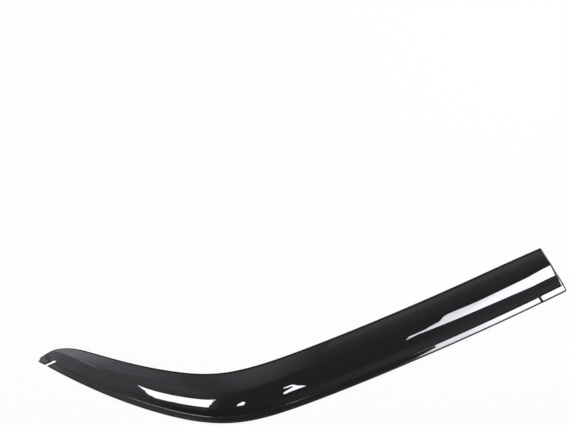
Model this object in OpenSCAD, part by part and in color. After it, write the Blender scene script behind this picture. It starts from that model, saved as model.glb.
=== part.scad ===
// Window rain deflector for the front door of a car, lying on its taped flange.
// X runs along the straight rear run towards the rear, Y from the mounting edge
// towards the free edge, and Z is the outward side. The shell is one moulding: a flat
// flange along the convex edge, a riser, a crowned blade that stands off the glass and
// an end wall at the rear. A strip of foam tape and its liner lie under the flange.

/* [Mounting edge] */
// Length along the mounting edge, from the tip to the rear corner
edge_len = 1112; // [1000:1:1250]
// Direction of the edge at the tip, in degrees against X
tip_angle = -54.7; // [-62:0.1:-46]
// Radius of the run that follows the front pillar
front_radius = 1120; // [800:10:2000]
// Place of the middle of the bend, along the edge from the tip
bend_at = 409; // [360:1:460]
// Distance over which the bend fades into the runs on either side
bend_soft = 43.6; // [38:0.1:60]
// Radius of the long rear run
rear_radius = 6100; // [4000:50:12000]
// Direction of the edge at the rear corner, in degrees against X
rear_angle = 2.2; // [0:0.1:4]

/* [Blade outline] */
// Width of the band along the rear run
band_w = 102.8; // [94:0.1:114]
// Width from which the front run widens
front_w = 54.6; // [48:0.1:62]
// Widening of the front run for each millimetre of edge
front_taper = 0.117; // [0.095:0.001:0.135]
// Width of the blunt tip
tip_w = 9.5; // [8:0.1:12]
// Distance over which the nose fills out behind the tip
nose_len = 21; // [17:0.1:26]
// Narrowing of the band towards the rear end
rear_narrow = 3.2; // [0:0.1:6]
// Length of that narrowing
narrow_len = 140; // [100:1:200]
// Slant of the rear end, in degrees off square
end_slant = 2.3; // [0:0.1:8]
// Radius of the rear corner of the flange
corner_r = 3; // [1.5:0.1:5]

/* [Blade section] */
// Thickness of the moulding
wall = 3; // [2.5:0.1:3.6]
// Height of the crest over the flange in the rear run, before its rounding
crest_h = 14; // [11:0.5:18]
// Distance over which the crest rises behind the tip
rise_len = 110; // [80:1:150]
// Distance of the crease from the mounting edge at the tip
crease_y = 37; // [33:0.5:41]
// Distance of the crest from the mounting edge in the rear run
crest_y = 49; // [44:0.5:54]
// Place where the crest starts to move inwards, along the edge from the tip
crest_from = 100; // [80:1:130]
// Distance over which the crest moves inwards
crest_run = 200; // [150:1:260]
// Angle of the riser between the flange and the blade
riser_angle = 50; // [44:0.5:56]
// Slope of the blade below the crest, in degrees
blade_rise = 7; // [4:0.5:9]
// Slope of the blade beyond the crest in the rear run, in degrees
blade_fall = 9; // [7:0.5:12]
// Extra slope beyond the crease at the tip, in degrees
crease_fall = 14; // [8:0.5:18]
// Softness of the fillet between the flange and the riser
fillet_soft = 1.6; // [1:0.1:2]
// Softness of the shoulder between the riser and the blade, at the tip
shoulder_tip = 2.2; // [2:0.1:3]
// Softness of that shoulder in the rear run
shoulder_soft = 4.2; // [3:0.1:6]
// Softness of the crease at the tip
crease_soft = 0.6; // [0.4:0.1:1.5]
// Softness of the crown along the crest in the rear run
crown_soft = 4.6; // [3.5:0.1:8]

/* [Flange] */
// Width of the flange along the tape
flange_w = 12.3; // [12:0.1:15]
// Width of the flange at the rear pad
pad_w = 16; // [14.5:0.1:18]
// Distance of the step to the rear pad from the rear corner
step_at = 58; // [48:0.5:72]
// Length of that step
step_len = 3; // [2:0.1:5]
// Width of the rear flange at the mounting corner
end_flange = 5.6; // [4.5:0.1:8]
// Width of the rear flange at the free edge
end_lip = 1.2; // [1:0.1:2]
// Distance over which the rear flange tapers to the lip
end_taper = 46; // [36:0.5:60]
// Depth of the rounding at the top of the end wall
end_round = 7; // [6:0.1:10]

/* [Tip slot] */
// Length of the mounting edge on the tip pad in front of the slot
slot_at = 13.5; // [12:0.1:15]
// Width of the slot along the mounting edge
slot_w = 5.8; // [5:0.1:7]
// Depth of the slot across the band
slot_depth = 17.6; // [16.6:0.1:20]
// Radius of the rounding at the slot's inner end
slot_r = 2.4; // [1.5:0.1:3]
// Lean of the slot towards the rear, in degrees off square
slot_lean = 37; // [30:0.5:40]

/* [Tape] */
// Thickness of the foam tape
tape_t = 1.1; // [0.8:0.1:1.6]
// Width of the foam tape
tape_w = 9; // [8:0.1:9.5]
// Distance of the tape from the mounting edge
tape_in = 1.2; // [0.8:0.1:1.4]
// Distance of the tape's ends from the slot and from the rear step
tape_end = 3; // [2:0.1:8]
// Thickness of the release liner
liner_t = 0.1; // [0.1:0.05:0.3]

/* [Hidden] */

// Levels of the upper face of the flange: on the bare pads and over the tape
pad_z = wall;
tape_z = wall + tape_t + liner_t;

// The mounting edge, laid out by its direction, which turns softly at the bend
edge_step = 4;
half_turn = 180;
quarter_turn = half_turn / 2;
deg = half_turn / PI;
function turned(s) = 1 / (1 + exp((bend_at - s) / bend_soft));
function heading(s) =
    (rear_angle + deg * (s - edge_len) / rear_radius) * turned(s)
    + (tip_angle + deg * s / front_radius) * (1 - turned(s));
edge_points = [
    for (i = 0, x = 0, y = 0;
         i <= ceil(edge_len / edge_step);
         x = x + edge_step * cos(heading((i + 0.5) * edge_step)),
         y = y + edge_step * sin(heading((i + 0.5) * edge_step)),
         i = i + 1)
    [x, y]
];
function edge_point(s) =
    let (i = max(0, min(floor(s / edge_step), len(edge_points) - 1)),
         rest = s - i * edge_step,
         a = heading(s - rest / 2))
    edge_points[i] + rest * [cos(a), sin(a)];
// A point of the plan: s along the mounting edge and y square to it
function plan(s, y) = edge_point(s) + y * [-sin(heading(s)), cos(heading(s))];

// Soft minimum and maximum: straight outside a band of height k and curved inside it
function soft_min(a, b, k) = min(a, b) - k / 4 * pow(max(k - abs(a - b), 0) / k, 2);
function soft_max(a, b, k) = -soft_min(-a, -b, k);
function ease(t) = let (u = max(0, min(1, t))) u * u * (3 - 2 * u);

// Width of the band, and the share of its full height reached at s
taper_soft = 8;
function band(s) =
    (soft_min(front_w + front_taper * s, band_w, taper_soft)
     - rear_narrow * pow(max(s - edge_len + narrow_len, 0) / narrow_len, 2))
    * (1 - (1 - tip_w / front_w) * exp(-max(s, 0) / nose_len));
function risen(s) = 1 - exp(-max(s, 0) / rise_len);

// Width of the flange: the rear pad is wider than the taped stretch
pad_ease = 12;
step_s = edge_len - step_at;
function flange(s) = flange_w + (pad_w - flange_w) * ease((s - step_s) / pad_ease);
function flange_z(s0) =
    s0 < slot_at + slot_w / 2 || s0 > step_s + step_len / 2 ? pad_z : tape_z;

// Height of the outer face at s and y, over a flange at level f
function crest_at(s) = crease_y + (crest_y - crease_y) * ease((s - crest_from) / crest_run);
function soft_at(s, tip, full) = tip + (full - tip) * risen(s);
function blade_z(s, y, f) =
    let (crest = tape_z + crest_h * risen(s),
         across = y - crest_at(s),
         below = crest + tan(blade_rise) * across,
         fall = blade_fall + crease_fall * exp(-max(s, 0) / rise_len),
         beyond = crest - tan(fall) * across,
         crown = soft_min(below, beyond, soft_at(s, crease_soft, crown_soft)),
         riser = tape_z + tan(riser_angle) * (y - flange(s)))
    soft_max(f, soft_min(riser, crown, soft_at(s, shoulder_tip, shoulder_soft)), fillet_soft);

// Section lines run from the mounting edge to the free edge. They lean with the slot
// near the tip, stand square in the middle and lean with the slanted end at the rear.
lean_fade = 200;
end_fade = 120;
slot_back = slot_at + slot_w;
function lean(s0) =
    tan(slot_lean) * min(s0 / slot_at, 1) * (1 - ease((s0 - slot_back) / lean_fade))
    - tan(end_slant) * ease((s0 - step_s + end_fade) / end_fade);
// Width of the rear flange at y
function rear_flange(y) = end_lip + (end_flange - end_lip) * (1 - ease(y / end_taper));
wall_s = edge_len - end_flange - end_round;
function line_s(s0, y) =
    s0 + lean(s0) * y
    + (end_flange - rear_flange(y)) * ease((s0 - step_s - step_len) / (wall_s - step_s - step_len));
// The free end of a section line, found by closing in on the band's width from outside
function reach(s0, y = band_w, n = 24) = n == 0 ? y : reach(s0, band(line_s(s0, y)), n - 1);

// Stations along the mounting edge, closer where the form turns
nose_n = 6;
front_n = 22;
bend_n = 18;
rear_n = 34;
pad_n = 5;
front_power = 1.35;
rear_power = 1.15;
front_end = bend_at - 2 * bend_soft;
bend_end = bend_at + 2 * bend_soft;
stations = concat(
    [for (i = [0 : nose_n]) slot_at * i / nose_n],
    [for (i = [0 : front_n - 1]) slot_back + (front_end - slot_back) * pow(i / front_n, front_power)],
    [for (i = [0 : bend_n - 1]) front_end + (bend_end - front_end) * i / bend_n],
    [for (i = [0 : rear_n]) bend_end + (step_s - bend_end) * (1 - pow(1 - i / rear_n, rear_power))],
    [for (i = [0 : pad_n]) step_s + step_len + (wall_s - step_s - step_len) * i / pad_n]);

// Rows across a section line, as shares of the flange and then of the blade. They are
// closest in the fillet and the shoulder, and even over the crown.
flange_rows = [0, 0.45, 0.87, 0.94, 1];
blade_rows = [
    0.008, 0.018, 0.055, 0.07, 0.085, 0.1, 0.115, 0.13, 0.15, 0.23,
    0.29, 0.35, 0.41, 0.47, 0.53, 0.6, 0.73, 0.87, 1];
nose_rows = 3;
pad_share = 0.55;
last_row = len(flange_rows) + len(blade_rows) - 1;
function even_y(s0, y0, j) =
    let (end = reach(s0) - wall / 2,
         f = min(flange(s0), max(y0 + 1, end * pad_share)),
         n = len(flange_rows))
    j < n ? y0 + (f - y0) * flange_rows[j] : f + (end - f) * blade_rows[j - n];

// The slot lies between two section lines, in the rows up to its depth. Near the tip the
// rows are stretched so that one of them runs through its inner end.
slot_line = nose_n;
slot_rows = len([for (j = [1 : last_row]) if (even_y(slot_at, 0, j) <= slot_depth) j]);
slot_stretch = slot_depth / even_y(slot_at, 0, slot_rows) - 1;
function row_y(s0, y0, j) =
    let (y = even_y(s0, y0, j),
         end = even_y(s0, y0, last_row),
         mid = even_y(s0, y0, slot_rows),
         moved = mid * (1 + slot_stretch * (1 - ease((s0 - slot_back) / lean_fade))))
    j <= slot_rows ? y * moved / mid : moved + (y - mid) * (end - moved) / (end - mid);

// The two lines close in on each other at the slot's inner end, which makes it round
slot_shut = 0.94;
function closing(s0, j) =
    let (off = abs(row_y(s0, 0, j) - row_y(s0, 0, slot_rows)),
         u = max(slot_shut - off / slot_r, 0))
    slot_w / 2 * (1 - sqrt(1 - u * u));

// Sections up to the end wall, then the wall itself and the rear flange
wall_n = 6;
wall_power = 0.8;
function point_of(i, j) =
    let (s0 = stations[i],
         y = row_y(s0, 0, j),
         side = i == slot_line ? 1 : i == slot_line + 1 ? -1 : 0,
         s = line_s(s0, y) + (side == 0 ? 0 : side * closing(s0, j)))
    [each plan(s, y), blade_z(s, y, flange_z(s0))];
function wall_point(a, j) =
    let (y = row_y(wall_s, 0, j),
         s = line_s(wall_s, y),
         top = blade_z(s, y, pad_z))
    [each plan(s + end_round * pow(sin(a), wall_power), y),
     pad_z + (top - pad_z) * pow(cos(a), wall_power)];
// The rear flange, whose corner at the mounting edge is rounded
rim_shares = [0.3, 0.8, 1];
function rear_point(b, j) =
    let (y0 = corner_r * (1 - cos(asin(b))),
         y = row_y(wall_s, y0 * b, j),
         foot = line_s(wall_s, y) + end_round,
         rim = edge_len - tan(end_slant) * y)
    [each plan(foot + (rim - foot) * b, y), pad_z];
outer = concat(
    [for (i = [0 : len(stations) - 1]) [for (j = [0 : last_row]) point_of(i, j)]],
    [for (i = [1 : wall_n]) [for (j = [0 : last_row]) wall_point(quarter_turn * i / wall_n, j)]],
    [for (b = rim_shares) [for (j = [0 : last_row]) rear_point(b, j)]]);
last_line = len(outer) - 1;

// The inner face lies one wall below the outer one, along the surface normal. Beside the
// slot the normal is taken from one side.
function cut(i, j) = i == slot_line && j < slot_rows;
function unit(v) = v / norm(v);
function normal_at(i, j) =
    let (fore = i == 0 || cut(i - 1, j) ? i : i - 1,
         aft = i == last_line || cut(i, j) ? i : i + 1,
         along = outer[aft][j] - outer[fore][j],
         across = outer[i][min(j + 1, last_row)] - outer[i][max(j - 1, 0)])
    unit(cross(along, across));
// The free edge is a half round between the two faces
function nose_point(i, n, a) =
    let (along = outer[min(i + 1, last_line)][last_row] - outer[max(i - 1, 0)][last_row],
         out = unit(cross(n, along)))
    outer[i][last_row] - wall / 2 * n + wall / 2 * (cos(a) * n + sin(a) * out);
function ring(i) =
    let (normals = [for (j = [0 : last_row]) normal_at(i, j)])
    concat(
        outer[i],
        [for (k = [1 : nose_rows])
            nose_point(i, normals[last_row], half_turn * k / (nose_rows + 1))],
        [for (j = [last_row : -1 : 0]) outer[i][j] - wall * normals[j]]);
rings = [for (i = [0 : last_line]) ring(i)];
ring_n = len(rings[0]);

// The frame's origin is the middle of the outline, at the level of the pads
flat = [for (r = rings) each r];
xs = [for (p = flat) p[0]];
ys = [for (p = flat) p[1]];
origin = [(min(xs) + max(xs)) / 2, (min(ys) + max(ys)) / 2];

// Triangles of a quad, of the band between two rings and of the two ends
function id(i, c) = i * ring_n + c % ring_n;
function quad(a, b, c, d) = [[a, b, c], [a, c, d]];
function open_column(i, c) =
    i == slot_line && (c < slot_rows || c >= ring_n - 1 - slot_rows);
sides = [
    for (i = [0 : last_line - 1])
    for (c = [0 : ring_n - 1])
    if (!open_column(i, c))
    each quad(id(i, c), id(i, c + 1), id(i + 1, c + 1), id(i + 1, c))
];
// The cut face of a ring, between row a and the free edge or row b
function strip(i, a, b) = [
    for (j = [a : b - 1])
    each quad(id(i, j), id(i, ring_n - 1 - j), id(i, ring_n - 2 - j), id(i, j + 1))
];
function flipped(faces) = [for (t = faces) [t[0], t[2], t[1]]];
function rim(i) = [
    for (k = [0 : nose_rows - 1])
    [id(i, last_row), id(i, last_row + nose_rows + 1 - k), id(i, last_row + nose_rows - k)]
];
slot_end = quad(
    id(slot_line, slot_rows), id(slot_line + 1, slot_rows),
    id(slot_line + 1, ring_n - 1 - slot_rows), id(slot_line, ring_n - 1 - slot_rows));
faces = concat(
    sides,
    strip(0, 0, last_row), rim(0),
    flipped(concat(strip(last_line, 0, last_row), rim(last_line))),
    flipped(strip(slot_line, 0, slot_rows)),
    strip(slot_line + 1, 0, slot_rows),
    slot_end);

module visor() {
    color("#1a1a1c")
    translate([-origin[0], -origin[1], 0])
    polyhedron(points = flat, faces = faces);
}

// Outline of the tape: its ends run beside the slot and beside the rear step
tape_lines = 110;
tape_start = slot_back + tape_end;
tape_stop = step_s - tape_end;
function tape_point(t, y) =
    let (s0 = tape_start + (tape_stop - tape_start) * t / tape_lines)
    plan(line_s(s0, y), y);
module tape_outline() {
    translate(-origin)
    polygon(concat(
        [for (t = [0 : tape_lines]) tape_point(t, tape_in)],
        [for (t = [tape_lines : -1 : 0]) tape_point(t, tape_in + tape_w)]));
}

module foam_tape() {
    color("#3a3a3c")
    translate([0, 0, liner_t])
    linear_extrude(height = tape_t)
    tape_outline();
}

module release_liner() {
    color("#2b2b2e")
    linear_extrude(height = liner_t)
    tape_outline();
}

visor();
foam_tape();
release_liner();
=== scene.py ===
"""Looks of the window rain deflector: a polished smoked acrylic moulding on a white studio floor.

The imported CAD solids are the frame. The shell is drawn again here, as a finer mesh with rounded
edges, so that the studio lights reflect in it without facets. Most of its sizes are those of the
CAD. The others differ by a little, because the reflections fit the photograph better with them,
and their groups below say so.
Lengths are in millimetres until a mesh is made, and in metres in Blender.
"""

import math

import bpy
import numpy as np
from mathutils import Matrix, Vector


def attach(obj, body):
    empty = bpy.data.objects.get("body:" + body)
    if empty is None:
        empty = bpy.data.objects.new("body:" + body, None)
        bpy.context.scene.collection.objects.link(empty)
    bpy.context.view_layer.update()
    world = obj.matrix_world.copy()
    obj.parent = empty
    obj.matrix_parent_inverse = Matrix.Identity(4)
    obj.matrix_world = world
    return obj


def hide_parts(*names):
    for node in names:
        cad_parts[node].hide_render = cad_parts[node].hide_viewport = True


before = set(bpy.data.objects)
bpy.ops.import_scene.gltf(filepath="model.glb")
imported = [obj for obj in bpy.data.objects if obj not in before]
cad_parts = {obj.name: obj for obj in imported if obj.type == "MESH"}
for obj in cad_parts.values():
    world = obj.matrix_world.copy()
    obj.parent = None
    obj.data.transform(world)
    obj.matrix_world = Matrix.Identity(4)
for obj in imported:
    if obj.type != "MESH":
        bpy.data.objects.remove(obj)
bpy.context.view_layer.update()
MM = 0.001
QUARTER_TURN = 90.0

# Least length by which a vector is divided
TINY = 1e-9

# Mounting edge, as in the CAD: s runs along it from the tip to the rear corner
EDGE_LEN = 1112.0
TIP_ANGLE = -54.7
FRONT_RADIUS = 1120.0
BEND_AT = 409.0
BEND_SOFT = 43.6
REAR_RADIUS = 6100.0
REAR_ANGLE = 2.2
EDGE_STEP = 4.0

# Blade outline, as in the CAD: y runs square to the mounting edge
BAND_W = 102.8
FRONT_W = 54.6
FRONT_TAPER = 0.117
TAPER_SOFT = 8.0
TIP_W = 9.5
NOSE_LEN = 21.0
END_SLANT = 2.3
REAR_NARROW = 3.2
NARROW_LEN = 140.0
CORNER_R = 3.0

# Blade section, as in the CAD
WALL = 3.0
CREST_Y = 49.0
CREST_FROM = 100.0
CREST_RUN = 200.0
RISE_LEN = 110.0
RISER_ANGLE = 50.0
BLADE_RISE = 7.0
BLADE_FALL = 9.0
CREASE_FALL = 14.0
SHOULDER_TIP = 2.2
SHOULDER_SOFT = 4.2
CREASE_SOFT = 0.6
CROWN_SOFT = 4.6

# Blade section, where it differs from the CAD. The crest is a hair lower, to stay inside the
# CAD's box, and the fillet tighter. The crease lies nearer to the mounting edge at the tip and
# farther off behind it, and softens into the crown over a stretch of its own.
CREST_H = 13.98
FILLET_SOFT = 1.3
CREASE_Y = 41.0
CREASE_DROP = 8.0
DROP_RUN = 50.0
CROWN_FROM = 60.0
CROWN_RUN = 200.0

# Sag of the blade beyond the crest, and the degrees that the riser loses towards the rear end.
# Both are only drawn here.
BOW = 1.2
BOW_FROM = 9.0
RISER_EASE = 3.0
RISER_RUN = 200.0
RISER_LEAD = 0.7

# Step, end wall, slot and tape, as in the CAD. The wall comes down in a curve, which is a quarter
# circle at a power of 1 and fuller below that.
STEP_AT = 58.0
STEP_LEN = 3.0
END_LIP = 1.2
END_ROUND = 7.0
WALL_POWER = 0.8
SLOT_AT = 13.5
SLOT_W = 5.8
SLOT_DEPTH = 17.6
SLOT_R = 2.4
SLOT_LEAN = 37.0
LEAN_FADE = 200.0
END_FADE = 120.0
TAPE_T = 1.1
LINER_T = 0.1

# Widths of the flange and of the rear flange, and the ramp of the step, where they differ from
# the CAD
FLANGE_W = 12.4
FLANGE_MORE = 0.8
MORE_FROM = 350.0
MORE_RUN = 100.0
PAD_W = 15.2
PAD_EASE = 18.0
PAD_LEAD = 0.4
RAMP_MORE = 1.3
END_FLANGE = 6.2
END_TAPER = 62.0

# Rounding of the outer corner along the mounting edge and around the rear flange, only drawn here
TOE_R = 1.4
TOE_N = 6
RIM_SHARE = 0.8

# Levels and places that follow from the sizes
PAD_Z = WALL
TAPE_Z = WALL + TAPE_T + LINER_T
STEP_S = EDGE_LEN - STEP_AT
SLOT_BACK = SLOT_AT + SLOT_W
SLOT_MIDDLE = SLOT_AT + SLOT_W / 2.0
WALL_S = EDGE_LEN - END_FLANGE - END_ROUND

# Fineness of the drawn shell: section lines along the edge and rows of points across it
NOSE_N = 16
SLOT_N = 8
FRONT_N = 110
BEND_N = 90
REAR_N = 200
STEP_N = 6
PAD_N = 30
WALL_N = 16
FLANGE_ROWS = 12
BLADE_ROWS = 52
ROUND_N = 7
REACH_ROUNDS = 24

# Spread of those lines and rows: even within BEND_SPAN of the bend's middle, and drawn towards
# the slot, the step and the riser elsewhere, by powers above 1
BEND_SPAN = 2.0 * BEND_SOFT
FRONT_POWER = 1.35
REAR_POWER = 1.15
ROW_POWER = 1.25

# Places of the rear flange's lines, as shares of the way from the wall's foot to the rim
REAR_FLANGE_LINES = (0.15, 0.4, 0.65, 0.85, 0.96, 1.0)

# Where the band is narrow, the flange's rows take up this share of it, and at least this width
FLANGE_SHARE = 0.55
LEAST_FLANGE = 1.0

# Least number of rows that the slot's round end takes up
LEAST_BULGE = 2

# Edges that turn by more than this many degrees are shaded sharp
SHARP_ANGLE = 32.0

# Rounds of smoothing for folds of the inner face, and the least cosine between the two faces
UNFOLD_ROUNDS = 200
UNFOLD_LEAST = 0.5

# Section lines at the slot's sides, and the last column on the outer face
FIRST_CUT = NOSE_N
LAST_CUT = NOSE_N + SLOT_N
LAST = FLANGE_ROWS + BLADE_ROWS

# Share of cut edge: whole on the edges, and half at the riser's foot and beside the mounting edge
CUT = 1.0
CORNER_DULL = 0.5
BESIDE_DULL = 0.5

# Section lines that count as cut: at the tip, before the rounded rim, before the slot's front side
# and from its rear side on
TIP_LINES_CUT = 2
END_LINES_CUT = 4
SLOT_LINES_BEFORE = 2
SLOT_LINES_AFTER = 4


def tan(degrees):
    """Tangent of an angle in degrees."""
    return math.tan(math.radians(degrees))


def ease(t):
    """Smooth step from 0 to 1."""
    u = np.clip(t, 0.0, 1.0)
    return u * u * (3.0 - 2.0 * u)


def soft_min(a, b, k):
    """Minimum that is curved where the two values are less than k apart."""
    return np.minimum(a, b) - k / 4.0 * (np.maximum(k - np.abs(a - b), 0.0) / k) ** 2


def soft_max(a, b, k):
    """Maximum that is curved where the two values are less than k apart."""
    return -soft_min(-a, -b, k)


def unit(v):
    """Vectors scaled to length 1."""
    return v / np.maximum(np.linalg.norm(v, axis=-1, keepdims=True), TINY)


def heading(s):
    """Direction of the mounting edge at s, in radians against X."""
    turned = 1.0 / (1.0 + np.exp((BEND_AT - s) / BEND_SOFT))
    rear = math.radians(REAR_ANGLE) + (s - EDGE_LEN) / REAR_RADIUS
    front = math.radians(TIP_ANGLE) + s / FRONT_RADIUS
    return rear * turned + front * (1.0 - turned)


def laid_edge():
    """Points of the mounting edge, one every EDGE_STEP."""
    middles = (np.arange(math.ceil(EDGE_LEN / EDGE_STEP) + 1) + 0.5) * EDGE_STEP
    steps = EDGE_STEP * np.stack([np.cos(heading(middles)), np.sin(heading(middles))], axis=1)
    return np.vstack([[0.0, 0.0], np.cumsum(steps, axis=0)])


EDGE_POINTS = laid_edge()


def plan(s, y):
    """Plan point at s along the mounting edge and y square to it."""
    i = np.clip(np.floor(s / EDGE_STEP).astype(int), 0, len(EDGE_POINTS) - 2)
    rest = s - i * EDGE_STEP
    a = heading(s - rest / 2.0)
    h = heading(s)
    px = EDGE_POINTS[i, 0] + rest * np.cos(a) - y * np.sin(h)
    py = EDGE_POINTS[i, 1] + rest * np.sin(a) + y * np.cos(h)
    return px, py


def band(s):
    """Width of the band at s."""
    full = soft_min(FRONT_W + FRONT_TAPER * s, BAND_W, TAPER_SOFT)
    full = full - REAR_NARROW * (np.maximum(s - EDGE_LEN + NARROW_LEN, 0.0) / NARROW_LEN) ** 2
    return full * (1.0 - (1.0 - TIP_W / FRONT_W) * np.exp(-np.maximum(s, 0.0) / NOSE_LEN))


def risen(s):
    """Share of the full crest height at s."""
    return 1.0 - np.exp(-np.maximum(s, 0.0) / RISE_LEN)


def flange(s):
    """Width of the flange at s."""
    wide = FLANGE_W + FLANGE_MORE * ease((s - MORE_FROM) / MORE_RUN)
    return wide + (PAD_W - wide) * ease((s - STEP_S) / PAD_EASE + PAD_LEAD)


def flange_z(s0):
    """Level of the flange's upper face on the section line that starts at s0."""
    share = (s0 - STEP_S + RAMP_MORE) / (STEP_LEN + 2.0 * RAMP_MORE)
    step = TAPE_Z + (PAD_Z - TAPE_Z) * np.clip(share, 0.0, 1.0)
    return np.where(s0 < SLOT_MIDDLE, PAD_Z, step)


def crest_at(s):
    """Distance of the crest from the mounting edge."""
    start = CREASE_Y - CREASE_DROP * np.exp(-np.maximum(s, 0.0) / DROP_RUN)
    return start + (CREST_Y - start) * ease((s - CREST_FROM) / CREST_RUN)


def blade_z(s, y, level):
    """Height of the outer face at s and y, over a flange at the given level."""
    crest = TAPE_Z + CREST_H * risen(s)
    across = y - crest_at(s)
    fall = np.radians(BLADE_FALL + CREASE_FALL * np.exp(-np.maximum(s, 0.0) / RISE_LEN))
    below = crest + tan(BLADE_RISE) * across
    beyond = crest - np.tan(fall) * across
    soft = CREASE_SOFT + (CROWN_SOFT - CREASE_SOFT) * ease((s - CROWN_FROM) / CROWN_RUN)
    crown = soft_min(below, beyond, soft)
    bowed = np.maximum(across - BOW_FROM, 0.0) / (BAND_W - CREST_Y - BOW_FROM)
    crown = crown - BOW * risen(s) * bowed ** 2
    steep = np.radians(RISER_ANGLE - RISER_EASE * ease((s - STEP_S) / RISER_RUN + RISER_LEAD))
    riser = TAPE_Z + np.tan(steep) * (y - flange(s))
    blade = soft_min(riser, crown, SHOULDER_TIP + (SHOULDER_SOFT - SHOULDER_TIP) * risen(s))
    return soft_max(level, blade, FILLET_SOFT)


def lean(s0):
    """Lean of the section line that starts at s0: along for each millimetre across."""
    at_slot = np.minimum(s0 / SLOT_AT, 1.0) * (1.0 - ease((s0 - SLOT_BACK) / LEAN_FADE))
    at_end = ease((s0 - STEP_S + END_FADE) / END_FADE)
    return tan(SLOT_LEAN) * at_slot - tan(END_SLANT) * at_end


def rear_flange(y):
    """Width of the rear flange at y."""
    return END_LIP + (END_FLANGE - END_LIP) * (1.0 - ease(y / END_TAPER))


def rim_round(y):
    """Radius of the rounded rim of the rear flange at y."""
    return np.minimum(TOE_R, RIM_SHARE * rear_flange(y))


def line_s(s0, y):
    """Place along the mounting edge of the section line from s0, at y."""
    near = ease((s0 - STEP_S - STEP_LEN) / (WALL_S - STEP_S - STEP_LEN))
    return s0 + lean(s0) * y + (END_FLANGE - rear_flange(y)) * near


def reach(s0):
    """Length of the section line from s0, found by closing in on the band's width."""
    y = np.full_like(s0, BAND_W)
    for _ in range(REACH_ROUNDS):
        y = band(line_s(s0, y))
    return y


def stations():
    """Starting places of the section lines, up to the end wall."""
    front_end = BEND_AT - BEND_SPAN
    bend_end = BEND_AT + BEND_SPAN
    ramp_start = STEP_S - RAMP_MORE
    ramp_end = STEP_S + STEP_LEN + RAMP_MORE
    grow = (np.arange(FRONT_N) / FRONT_N) ** FRONT_POWER
    shrink = 1.0 - (1.0 - np.arange(REAR_N + 1) / REAR_N) ** REAR_POWER
    return np.concatenate([
        np.linspace(0.0, SLOT_AT, NOSE_N + 1),
        np.linspace(SLOT_AT, SLOT_BACK, SLOT_N + 1)[1:-1],
        SLOT_BACK + (front_end - SLOT_BACK) * grow,
        np.linspace(front_end, bend_end, BEND_N, endpoint=False),
        bend_end + (ramp_start - bend_end) * shrink,
        np.linspace(ramp_start, ramp_end, STEP_N + 1)[1:-1],
        np.linspace(ramp_end, WALL_S, PAD_N + 1),
    ])


def rows(s0, y0):
    """Distances from the mounting edge of the points on each section line."""
    end = reach(s0) - WALL / 2.0
    width = np.minimum(flange(s0), np.maximum(y0 + LEAST_FLANGE, end * FLANGE_SHARE))
    first = y0 + TOE_R
    on_flange = np.linspace(0.0, 1.0, FLANGE_ROWS + 1)[None, :]
    on_blade = (np.linspace(0.0, 1.0, BLADE_ROWS + 1)[1:] ** ROW_POWER)[None, :]
    return np.hstack([
        first[:, None] + (width - first)[:, None] * on_flange,
        width[:, None] + (end - width)[:, None] * on_blade,
    ])


def outer_face():
    """Grid of points on the outer face: sections, then the end wall, then the rear flange."""
    s0 = stations()
    y = rows(s0, np.zeros_like(s0))
    s = line_s(s0[:, None], y)
    px, py = plan(s, y)
    grid = [np.stack([px, py, blade_z(s, y, flange_z(s0)[:, None])], axis=2)]
    # The end wall comes down in a rounded curve from the section line at its top
    a = np.radians(np.linspace(0.0, QUARTER_TURN, WALL_N + 1)[1:])[:, None]
    start = np.full(WALL_N, WALL_S)
    y = rows(start, np.zeros(WALL_N))
    s = line_s(start[:, None], y)
    top = blade_z(s, y, PAD_Z)
    px, py = plan(s + END_ROUND * np.sin(a) ** WALL_POWER, y)
    drop = np.maximum(np.cos(a), 0.0) ** WALL_POWER
    grid.append(np.stack([px, py, PAD_Z + (top - PAD_Z) * drop], axis=2))
    # The rear flange runs on from the wall's foot to its rim, with a rounded corner
    b = np.array(REAR_FLANGE_LINES)
    start = np.full(len(b), WALL_S)
    y = rows(start, CORNER_R * (1.0 - np.cos(np.arcsin(b))) * b)
    foot = line_s(start[:, None], y) + END_ROUND
    rim = EDGE_LEN - rim_round(y) - tan(END_SLANT) * y
    px, py = plan(foot + (rim - foot) * b[:, None], y)
    grid.append(np.stack([px, py, np.full_like(px, PAD_Z)], axis=2))
    return np.concatenate(grid)


def round_slot_end(outer, slot_rows):
    """Draw in the section lines inside the slot at its end, which makes the end round."""
    row_gap = np.linalg.norm(outer[LAST_CUT, slot_rows + 1] - outer[LAST_CUT, slot_rows])
    bulge = max(int(round(2.0 * SLOT_R / row_gap)), LEAST_BULGE)
    for i in range(FIRST_CUT + 1, LAST_CUT):
        across = (i - FIRST_CUT) / SLOT_N * 2.0 - 1.0
        start = 0.5 * bulge * math.sqrt(1.0 - across * across)
        at = slot_rows + start + (bulge - start) * np.arange(bulge) / bulge
        whole = np.floor(at).astype(int)
        rest = (at - whole)[:, None]
        drawn = outer[i, whole] * (1.0 - rest) + outer[i, whole + 1] * rest
        outer[i, slot_rows:slot_rows + bulge] = drawn


def directions(outer, slot_rows):
    """Direction along the edge and normal of the outer face, at each of its points."""
    along = np.empty_like(outer)
    along[1:-1] = outer[2:] - outer[:-2]
    along[0] = outer[1] - outer[0]
    along[-1] = outer[-1] - outer[-2]
    cut = slice(0, slot_rows)
    along[FIRST_CUT, cut] = outer[FIRST_CUT, cut] - outer[FIRST_CUT - 1, cut]
    along[LAST_CUT, cut] = outer[LAST_CUT + 1, cut] - outer[LAST_CUT, cut]
    across = np.empty_like(outer)
    across[:, 1:-1] = outer[:, 2:] - outer[:, :-2]
    across[:, 0] = outer[:, 1] - outer[:, 0]
    across[:, -1] = outer[:, -1] - outer[:, -2]
    return along, unit(np.cross(along, across))


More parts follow.
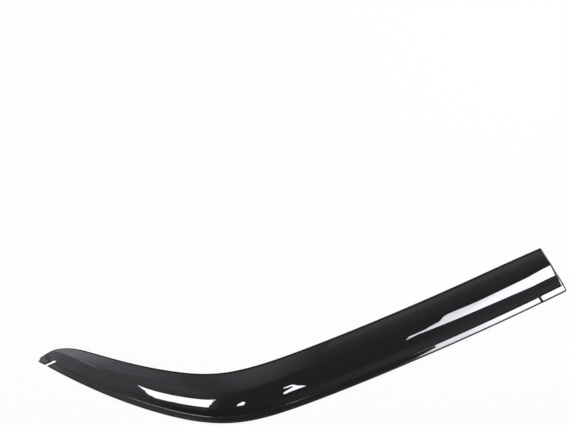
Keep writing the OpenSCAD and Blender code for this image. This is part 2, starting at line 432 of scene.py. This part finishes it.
def corner_normals(grid):
    """Normals at the four corners of each quad of a grid of points."""
    corners = [grid[:-1, :-1], grid[1:, :-1], grid[1:, 1:], grid[:-1, 1:]]
    return [unit(np.cross(corners[(i + 1) % 4] - here, corners[i - 1] - here))
            for i, here in enumerate(corners)]


def unfolded(inner, outer, slot_rows):
    """The inner face, drawn smooth where the offset from the outer face folded it over."""
    way = unit(sum(corner_normals(outer)))
    # Quads inside the slot are left out of the shell, and so need no mending
    shut = np.zeros(way.shape[:2], dtype=bool)
    shut[FIRST_CUT:LAST_CUT, :slot_rows] = True
    for _ in range(UNFOLD_ROUNDS):
        facing = np.min([np.sum(n * way, axis=2) for n in corner_normals(inner)], axis=0)
        folded = (facing < UNFOLD_LEAST) & ~shut
        if not folded.any():
            break
        touched = np.zeros(inner.shape[:2], dtype=bool)
        for i in (0, 1):
            for j in (0, 1):
                touched[i:len(touched) - 1 + i, j:touched.shape[1] - 1 + j] |= folded
        wide = np.pad(inner, ((1, 1), (1, 1), (0, 0)), mode="edge")
        middle = (wide[:-2, 1:-1] + wide[2:, 1:-1] + wide[1:-1, :-2] + wide[1:-1, 2:]) / 4.0
        inner = np.where(touched[:, :, None], middle, inner)
    return inner


def with_rim(outer, inner, outward):
    """Both faces with the lines added that round the rim of the rear flange."""
    a = np.radians(QUARTER_TURN * np.arange(1, TOE_N + 1) / TOE_N)[:, None, None]
    end_way = outer[-1] - outer[-2]
    end_way[:, 2] = 0.0
    rim = rim_round(rows(np.array([WALL_S]), np.array([CORNER_R]))[0])[None, :, None]
    end_way = rim * np.sin(a) * unit(end_way)
    drop = rim * (1.0 - np.cos(a)) * np.array([0.0, 0.0, 1.0])
    outer = np.concatenate([outer, outer[-1] + end_way - drop])
    inner = np.concatenate([inner, inner[-1] + end_way])
    outward = np.concatenate([outward, np.repeat(outward[-1:], TOE_N, axis=0)])
    return outer, inner, outward


def toe_arc(edge, inward):
    """Columns of points that round the corner outside the first column, from the bottom up."""
    a = np.radians(QUARTER_TURN * np.arange(TOE_N) / TOE_N)[None, :, None]
    drop = np.array([0.0, 0.0, TOE_R])
    return edge[:, None] - TOE_R * np.cos(a) * inward[:, None] - (1.0 - np.sin(a)) * drop


def closed_ring(outer, inner, outward):
    """Points around each section: outer face, free edge, inner face and rounded toe."""
    a = np.pi * np.arange(1, ROUND_N + 1)[None, :, None] / (ROUND_N + 1)
    middle = (outer[:, None, LAST] + inner[:, None, LAST]) / 2.0
    half = (outer[:, None, LAST] - inner[:, None, LAST]) / 2.0
    size = np.linalg.norm(half, axis=2, keepdims=True)
    nose = middle + np.cos(a) * half + np.sin(a) * size * outward[:, None]
    inward = outer[:, 1] - outer[:, 0]
    inward[:, 2] = 0.0
    inward = unit(inward)
    toe = toe_arc(outer[:, 0], inward)
    inner[:, 0] -= TOE_R * inward
    return np.concatenate([outer, nose, inner[:, ::-1], toe], axis=1)


def shell_faces(lines, count, inner_toe, slot_rows):
    """Faces of the shell: the skin all round, both ends, and the sides and end of the slot."""
    index = np.arange(lines * count).reshape(lines, count)
    after = np.roll(index, -1, axis=1)
    keep = np.ones((lines - 1, count), dtype=bool)
    keep[FIRST_CUT:LAST_CUT, :slot_rows] = False
    keep[FIRST_CUT:LAST_CUT, inner_toe - slot_rows:] = False
    skin = np.stack([index[:-1], index[1:], after[1:], after[:-1]], axis=2)[keep]
    faces = skin.tolist()
    index = index.tolist()
    for line, shut, turn in ((0, LAST, 1), (lines - 1, LAST, -1),
                             (FIRST_CUT, slot_rows, -1), (LAST_CUT, slot_rows, 1)):
        row = index[line]
        for j in range(shut):
            face = [row[j], row[j + 1], row[inner_toe - 1 - j], row[inner_toe - j]]
            faces.append(face[::turn])
        toe = row[inner_toe:] + row[:1]
        faces.append(toe[::turn])
    for line, turn in ((0, 1), (lines - 1, -1)):
        nose = index[line][LAST:LAST + ROUND_N + 2]
        faces.append(nose[::turn])
    under = inner_toe - slot_rows
    for line in range(FIRST_CUT, LAST_CUT):
        this, following = index[line], index[line + 1]
        faces.append([this[slot_rows], this[under], following[under], following[slot_rows]])
    return faces


def cut_marks(lines, count, inner_toe, slot_rows):
    """Share of cut edge at each point of the shell."""
    edge = np.zeros((lines, count))
    edge[:, FLANGE_ROWS - 1:FLANGE_ROWS + 1] = CORNER_DULL
    edge[:, 1] = BESIDE_DULL
    edge[:, LAST - 1:LAST + 1 + ROUND_N] = CUT
    edge[:, inner_toe + 1:] = CUT
    edge[:, 0] = CUT
    edge[:TIP_LINES_CUT] = CUT
    edge[-TOE_N - END_LINES_CUT:] = CUT
    edge[FIRST_CUT - SLOT_LINES_BEFORE:FIRST_CUT + 1, :slot_rows] = CUT
    edge[LAST_CUT:LAST_CUT + SLOT_LINES_AFTER, :slot_rows] = CUT
    edge[FIRST_CUT:LAST_CUT + 1, slot_rows] = CUT
    return edge


def build_shell():
    """The moulding as one closed mesh, with the share of cut edge at its points."""
    outer = outer_face()
    beside_slot = rows(np.array([SLOT_AT]), np.zeros(1))[0, 1:]
    slot_rows = int(np.sum(beside_slot <= SLOT_DEPTH - SLOT_R))
    round_slot_end(outer, slot_rows)
    along, normal = directions(outer, slot_rows)
    inner = unfolded(outer - WALL * normal, outer, slot_rows)
    outward = unit(np.cross(normal[:, LAST], along[:, LAST]))
    ring = closed_ring(*with_rim(outer, inner, outward))
    lines, count = ring.shape[:2]
    inner_toe = count - TOE_N - 1
    faces = shell_faces(lines, count, inner_toe, slot_rows)
    edge = cut_marks(lines, count, inner_toe, slot_rows)
    points = ring.reshape(-1, 3)
    used = np.unique(np.concatenate(faces))
    renumber = np.full(len(points), -1)
    renumber[used] = np.arange(len(used))
    low, high = points[used].min(axis=0), points[used].max(axis=0)
    points = points[used] - [(low[0] + high[0]) / 2.0, (low[1] + high[1]) / 2.0, 0.0]
    mesh = bpy.data.meshes.new("visor_shell")
    mesh.from_pydata((points * MM).tolist(), [], [renumber[face].tolist() for face in faces])
    mesh.validate()
    mark = mesh.attributes.new("cut_edge", "FLOAT", "POINT")
    mark.data.foreach_set("value", edge.reshape(-1)[used])
    mesh.polygons.foreach_set("use_smooth", [True] * len(mesh.polygons))
    mesh.set_sharp_from_angle(angle=math.radians(SHARP_ANGLE))
    shell = bpy.data.objects.new("visor_shell", mesh)
    bpy.context.scene.collection.objects.link(shell)
    return shell


def new_material(name):
    """A material with a principled shader, and its nodes, links and shader."""
    material = bpy.data.materials.new(name)
    material.use_nodes = True
    nodes, links = material.node_tree.nodes, material.node_tree.links
    return material, nodes, links, nodes["Principled BSDF"]


def map_range(nodes, links, source, span, result, smooth=False):
    """Socket of a value that runs over result while the source runs over span."""
    node = nodes.new("ShaderNodeMapRange")
    if smooth:
        node.interpolation_type = "SMOOTHSTEP"
    node.inputs["From Min"].default_value = span[0]
    node.inputs["From Max"].default_value = span[1]
    node.inputs["To Min"].default_value = result[0]
    node.inputs["To Max"].default_value = result[1]
    links.new(source, node.inputs["Value"])
    return node.outputs["Result"]


def combined(nodes, links, operation, first, second):
    """Socket of the larger value or the product of two sockets, as the operation says."""
    node = nodes.new("ShaderNodeMath")
    node.operation = operation
    links.new(first, node.inputs[0])
    links.new(second, node.inputs[1])
    return node.outputs[0]


def place_along(nodes, links, source, way):
    """Socket of how far a place lies along a direction."""
    node = nodes.new("ShaderNodeVectorMath")
    node.operation = "DOT_PRODUCT"
    node.inputs[1].default_value = way
    links.new(source, node.inputs[0])
    return node.outputs["Value"]


# Smoked acrylic: nearly black, polished on the faces and dull on the cut edges
WHOLE = (0.0, 1.0)
ACRYLIC_COLOUR = (0.008, 0.008, 0.009, 1.0)
ACRYLIC_IOR = 1.49
ROUGHNESS_TO_CUT = (0.012, 0.4)
SHINE_TO_CUT = (1.0, 0.1)
WAVE_SCALE = 9.0
WAVE_DETAIL = 1.0
WAVE_STRENGTH = 0.03
WAVE_DEPTH = 0.001


def acrylic():
    """Polished dark smoke acrylic, with the faint waviness of a moulding."""
    material, nodes, links, shader = new_material("smoked_acrylic")
    shader.inputs["Base Color"].default_value = ACRYLIC_COLOUR
    shader.inputs["IOR"].default_value = ACRYLIC_IOR
    cut = nodes.new("ShaderNodeAttribute")
    cut.attribute_name = "cut_edge"
    for socket, to_cut in (("Roughness", ROUGHNESS_TO_CUT), ("Specular IOR Level", SHINE_TO_CUT)):
        value = map_range(nodes, links, cut.outputs["Fac"], WHOLE, to_cut)
        links.new(value, shader.inputs[socket])
    place = nodes.new("ShaderNodeTexCoord")
    wave = nodes.new("ShaderNodeTexNoise")
    wave.inputs["Scale"].default_value = WAVE_SCALE
    wave.inputs["Detail"].default_value = WAVE_DETAIL
    links.new(place.outputs["Object"], wave.inputs["Vector"])
    bump = nodes.new("ShaderNodeBump")
    bump.inputs["Strength"].default_value = WAVE_STRENGTH
    bump.inputs["Distance"].default_value = WAVE_DEPTH
    links.new(wave.outputs["Fac"], bump.inputs["Height"])
    links.new(bump.outputs["Normal"], shader.inputs["Normal"])
    return material


# Foam tape and release liner: colour and roughness, and the grain that varies the colour
UNDERSIDE = {
    "foam_tape": ((0.04, 0.04, 0.042), 0.9),
    "release_liner": ((0.07, 0.07, 0.075), 0.5),
}
GRAIN_SCALE = 900.0
GRAIN_DARK = 0.8
GRAIN_LIGHT = 1.2


def plain(name, colour, roughness):
    """A matt material with a fine grain."""
    material, nodes, links, shader = new_material(name)
    grain = nodes.new("ShaderNodeTexNoise")
    grain.inputs["Scale"].default_value = GRAIN_SCALE
    place = nodes.new("ShaderNodeTexCoord")
    links.new(place.outputs["Object"], grain.inputs["Vector"])
    ramp = nodes.new("ShaderNodeValToRGB")
    ramp.color_ramp.elements[0].color = (*[c * GRAIN_DARK for c in colour], 1.0)
    ramp.color_ramp.elements[1].color = (*[c * GRAIN_LIGHT for c in colour], 1.0)
    links.new(grain.outputs["Fac"], ramp.inputs["Fac"])
    links.new(ramp.outputs["Color"], shader.inputs["Base Color"])
    shader.inputs["Roughness"].default_value = roughness
    return material


# Floor, in metres: a plain white one, of which most is replaced by pure white for the camera
FLOOR_REACH = 12.0
FLOOR_LEVEL = -0.0004
FLOOR_COLOUR = (0.95, 0.95, 0.95, 1.0)
FLOOR_ROUGHNESS = 0.9
FLOOR_GLOW = 1.0
GLOW_SHARE = 0.9


def build_floor():
    """A white floor that fades to pure white for the camera and keeps a soft shadow."""
    mesh = bpy.data.meshes.new("studio_floor")
    corners = [(x * FLOOR_REACH, y * FLOOR_REACH, 0.0)
               for x, y in ((-1.0, -1.0), (1.0, -1.0), (1.0, 1.0), (-1.0, 1.0))]
    mesh.from_pydata(corners, [], [(0, 1, 2, 3)])
    floor = bpy.data.objects.new("studio_floor", mesh)
    floor.location.z = FLOOR_LEVEL
    bpy.context.scene.collection.objects.link(floor)
    material, nodes, links, shader = new_material("floor_white")
    shader.inputs["Base Color"].default_value = FLOOR_COLOUR
    shader.inputs["Roughness"].default_value = FLOOR_ROUGHNESS
    shader.inputs["Specular IOR Level"].default_value = 0.0
    glow = nodes.new("ShaderNodeEmission")
    glow.inputs["Strength"].default_value = FLOOR_GLOW
    path = nodes.new("ShaderNodeLightPath")
    seen = path.outputs["Is Camera Ray"]
    for ray in ("Is Glossy Ray", "Is Transmission Ray"):
        seen = combined(nodes, links, "MAXIMUM", seen, path.outputs[ray])
    share = map_range(nodes, links, seen, WHOLE, (0.0, GLOW_SHARE))
    mix = nodes.new("ShaderNodeMixShader")
    links.new(share, mix.inputs["Fac"])
    links.new(shader.outputs[0], mix.inputs[1])
    links.new(glow.outputs[0], mix.inputs[2])
    links.new(mix.outputs[0], nodes["Material Output"].inputs["Surface"])
    mesh.materials.append(material)


# Camera: width of the photograph in pixels and size of a pixel at the target, directions in
# degrees, distance and target in metres
PHOTO_W = 569.0
PIXEL_MM = 2.0
CAMERA_AZIMUTH = -24.5
CAMERA_RISE = 70.0
CAMERA_AWAY = 3.5
SENSOR_MM = 36.0
TARGET = (0.0619, 0.2292, 0.0)


def build_camera():
    """A long lens looking down on the deflector, which lies turned in the picture."""
    data = bpy.data.cameras.new("camera")
    data.sensor_width = SENSOR_MM
    data.lens = SENSOR_MM * CAMERA_AWAY / (PIXEL_MM * MM * PHOTO_W)
    camera = bpy.data.objects.new("camera", data)
    a = math.radians(CAMERA_AZIMUTH)
    e = math.radians(CAMERA_RISE)
    back = Vector((math.sin(a) * math.cos(e), -math.cos(a) * math.cos(e), math.sin(e)))
    camera.location = Vector(TARGET) + back * CAMERA_AWAY
    camera.rotation_mode = "QUATERNION"
    camera.rotation_quaternion = (-back).to_track_quat("-Z", "Y")
    bpy.context.scene.collection.objects.link(camera)
    bpy.context.scene.camera = camera


# Share of each colour in the light of the white lamps and of the sky
LAMP_TINT = (1.0, 1.0, 1.05)
SKY_TINT = (0.99, 0.99, 1.08)

# Strength of the world above the object and to its left and right. It changes while the sideways
# part of the direction runs over SIDEWAYS.
WORLD_MIDDLE = 0.1
WORLD_LEFT = 0.45
WORLD_RIGHT = 0.28
SIDEWAYS = (0.33, 0.58)


def build_world():
    """A dim grey world, a little lighter to both sides. The camera sees only the floor."""
    world = bpy.data.worlds.new("studio")
    world.use_nodes = True
    nodes, links = world.node_tree.nodes, world.node_tree.links
    back = nodes["Background"]
    back.inputs["Color"].default_value = (*SKY_TINT, 1.0)
    place = nodes.new("ShaderNodeTexCoord")
    a = math.radians(CAMERA_AZIMUTH)
    graded = []
    for way, strength in ((-1.0, WORLD_LEFT), (1.0, WORLD_RIGHT)):
        aside = place_along(nodes, links, place.outputs["Generated"],
                            (way * math.cos(a), way * math.sin(a), 0.0))
        graded.append(map_range(nodes, links, aside, SIDEWAYS, (WORLD_MIDDLE, strength)))
    lighter = combined(nodes, links, "MAXIMUM", *graded)
    links.new(lighter, back.inputs["Strength"])
    bpy.context.scene.world = world


# Lamps: flat glowing panels over the object, which the camera sees only as reflections. Places
# are in metres to the right of the target and away from the camera, and levels over the floor
LAMP_LEVEL = 1.5
SKY_LEVEL = 1.53
WHITE = 13.0
CLOUD_SCALE = 3.0
CLOUD_SPAN = (0.3, 0.7)
TO_RIGHT = (1.0, 0.0, 0.0)

# Where a colour ramp's new stop is put, until its own place is set
NEW_STOP = 0.5


def panel(name, outline, stops, way=TO_RIGHT, tint=SKY_TINT, level=SKY_LEVEL, cloud=0.0,
          fade=None):
    """A glowing panel with the given outline.

    stops are pairs of a place along way and the radiance there; cloud is the share by which
    a noise pattern changes that radiance; fade is the place to the right where the panel
    begins to dim, the place where it is dimmest, and the share that is left there.
    """
    mesh = bpy.data.meshes.new(name)
    mesh.from_pydata([(u, v, 0.0) for u, v in outline], [], [tuple(range(len(outline)))])
    lamp = bpy.data.objects.new(name, mesh)
    lamp.location = Vector(TARGET) + Vector((0.0, 0.0, level))
    lamp.rotation_euler.z = math.radians(CAMERA_AZIMUTH)
    bpy.context.scene.collection.objects.link(lamp)
    material, nodes, links, shader = new_material(name)
    nodes.remove(shader)
    place = nodes.new("ShaderNodeTexCoord").outputs["Object"]
    first, last = stops[0][0], stops[-1][0]
    along = place_along(nodes, links, place, way)
    share = map_range(nodes, links, along, (first, last), WHOLE)
    ramp = nodes.new("ShaderNodeValToRGB")
    while len(ramp.color_ramp.elements) < len(stops):
        ramp.color_ramp.elements.new(NEW_STOP)
    for element, (at, radiance) in zip(ramp.color_ramp.elements, stops):
        element.position = (at - first) / (last - first)
        element.color = (*[radiance * colour for colour in tint], 1.0)
    links.new(share, ramp.inputs["Fac"])
    noise = nodes.new("ShaderNodeTexNoise")
    noise.inputs["Scale"].default_value = CLOUD_SCALE
    links.new(place, noise.inputs["Vector"])
    strength = map_range(nodes, links, noise.outputs["Fac"], CLOUD_SPAN, (1.0 - cloud, 1.0 + cloud))
    if fade:
        across = nodes.new("ShaderNodeSeparateXYZ")
        links.new(place, across.inputs[0])
        dim = map_range(nodes, links, across.outputs["X"], fade[:2], (1.0, fade[2]), smooth=True)
        strength = combined(nodes, links, "MULTIPLY", strength, dim)
    glow = nodes.new("ShaderNodeEmission")
    links.new(ramp.outputs["Color"], glow.inputs["Color"])
    links.new(strength, glow.inputs["Strength"])
    links.new(glow.outputs[0], nodes["Material Output"].inputs["Surface"])
    mesh.materials.append(material)
    lamp.visible_camera = False
    lamp.visible_shadow = False


# Outlines of the four white lamps: one makes the long band and the white flange at the rear end,
# one the crescent in the bend, and two small ones the dot and the arrow beside it
RIGHT_LAMP = (
    (0.402, 0.0), (0.425, 0.05), (0.544, 0.03), (0.666, 0.036), (0.747, 0.038), (0.833, 0.028),
    (0.867, 0.06), (1.05, 0.10), (1.05, 0.95), (0.63, 0.63), (0.612, 0.548), (0.585, 0.53),
    (0.538, 0.495), (0.476, 0.44), (0.378, 0.45), (0.38, 0.40), (0.424, 0.241), (0.41, 0.15),
    (0.43, 0.138), (0.373, 0.106))
RIGHT_LAMP_STOPS = ((0.37, 8.5), (0.5, 9.6), (0.62, 12.5), (1.1, WHITE))
LEFT_LAMP = (
    (-0.522, -0.19), (-0.532, -0.26), (-0.542, -0.32), (-0.525, -0.34), (-0.511, -0.349),
    (-0.497, -0.356), (-0.53, -0.50), (-0.46, -0.43), (-0.421, -0.388), (-0.361, -0.395),
    (-0.261, -0.41), (-0.24, -0.385), (-0.242, -0.33), (-0.225, -0.26), (-0.228, -0.22),
    (-0.209, -0.142), (-0.26, -0.186), (-0.316, -0.217), (-0.394, -0.25), (-0.461, -0.243),
    (-0.496, -0.231))
DOT_LAMP = (
    (-0.102, -0.4065), (-0.093, -0.4055), (-0.066, -0.402), (-0.058, -0.396),
    (-0.066, -0.345), (-0.078, -0.325), (-0.085, -0.372), (-0.096, -0.40))
ARROW_LAMP = (
    (0.11, -0.355), (0.116, -0.3545), (0.14, -0.344), (0.164, -0.335), (0.185, -0.327),
    (0.178, -0.322), (0.13, -0.244), (0.064, -0.106), (0.053, -0.095), (0.038, -0.126),
    (0.054, -0.164), (0.082, -0.165), (0.105, -0.227), (0.107, -0.275), (0.106, -0.335))
EVEN_WHITE = ((0.0, WHITE), (1.0, WHITE))

# Outlines of the dim grey panels, which shade the dark faces from the tip to the rear end
LEFT_SKY = (
    (-0.27, 0.62), (-0.16, 0.60), (-0.14, 0.24), (-0.16, -0.12), (-0.27, -0.7), (-0.7, -3.4),
    (-2.2, -3.4), (-2.2, 2.4), (-0.27, 2.4))
LEFT_SKY_STOPS = ((0.2, 0.26), (0.45, 0.42), (0.75, 0.5), (1.0, 0.75), (1.4, 1.8))
FAR_SKY = ((-0.12, 0.50), (1.3, 1.12), (1.3, 2.4), (-0.12, 2.4))
FAR_SKY_STOPS = ((0.60, 0.10), (0.70, 0.14), (0.775, 0.16), (0.84, 0.22), (0.90, 0.42), (1.2, 0.5))
BEND_SKY = ((-0.27, 0.60), (-0.12, 0.60), (-0.12, 2.4), (-0.27, 2.4))
BEND_SKY_STOPS = ((0.60, 0.38), (0.76, 0.45), (1.2, 0.60))
RIGHT_SKY = ((0.5, -3.4), (3.0, -3.4), (3.0, 0.2), (0.5, 0.2))
RIGHT_SKY_STOPS = ((0.5, 0.1), (0.75, 0.21), (3.0, 0.22))

# Outlines of the two panels that are reflected near the tip
TIP_STRIP = ((-1.15, 0.2), (-0.5, 0.2), (-0.5, 0.52), (-1.15, 0.52))
TIP_STRIP_STOPS = ((-1.15, 2.5), (-0.72, 2.4), (-0.5, 1.6))
TIP_SPOT = ((-0.82, 0.0), (-0.60, 0.0), (-0.60, 0.2), (-0.82, 0.2))
TIP_SPOT_STOPS = ((0.0, 1.5), (1.0, 1.5))


def build_lamps():
    """All panels over the object."""
    for name, outline, stops in (("softbox_right", RIGHT_LAMP, RIGHT_LAMP_STOPS),
                                 ("softbox_left", LEFT_LAMP, EVEN_WHITE),
                                 ("softbox_dot", DOT_LAMP, EVEN_WHITE),
                                 ("softbox_arrow", ARROW_LAMP, EVEN_WHITE)):
        panel(name, outline, stops, tint=LAMP_TINT, level=LAMP_LEVEL)
    panel("sky_left", LEFT_SKY, LEFT_SKY_STOPS, way=(-1.0, 0.55, 0.0), cloud=0.15,
          fade=(-0.27, -0.15, 0.4))
    panel("sky_far", FAR_SKY, FAR_SKY_STOPS, way=(-0.434, 1.0, 0.0), cloud=0.15)
    panel("sky_bend", BEND_SKY, BEND_SKY_STOPS, way=(0.0, 1.0, 0.0), cloud=0.1,
          fade=(-0.27, -0.12, 0.45))
    panel("sky_right", RIGHT_SKY, RIGHT_SKY_STOPS)
    panel("strip_tip", TIP_STRIP, TIP_STRIP_STOPS, tint=LAMP_TINT, level=LAMP_LEVEL,
          fade=(-0.66, -0.54, 0.2))
    panel("spot_tip", TIP_SPOT, TIP_SPOT_STOPS, tint=LAMP_TINT, level=LAMP_LEVEL,
          fade=(-0.72, -0.60, 0.35))


shell = build_shell()
shell.data.materials.append(acrylic())
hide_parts("visor")
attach(shell, "root")
for node, (colour, roughness) in UNDERSIDE.items():
    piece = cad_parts[node]
    piece.data.materials.clear()
    piece.data.materials.append(plain(node, colour, roughness))
build_floor()
build_camera()
build_world()
build_lamps()

scene = bpy.context.scene
scene.view_settings.view_transform = "Standard"
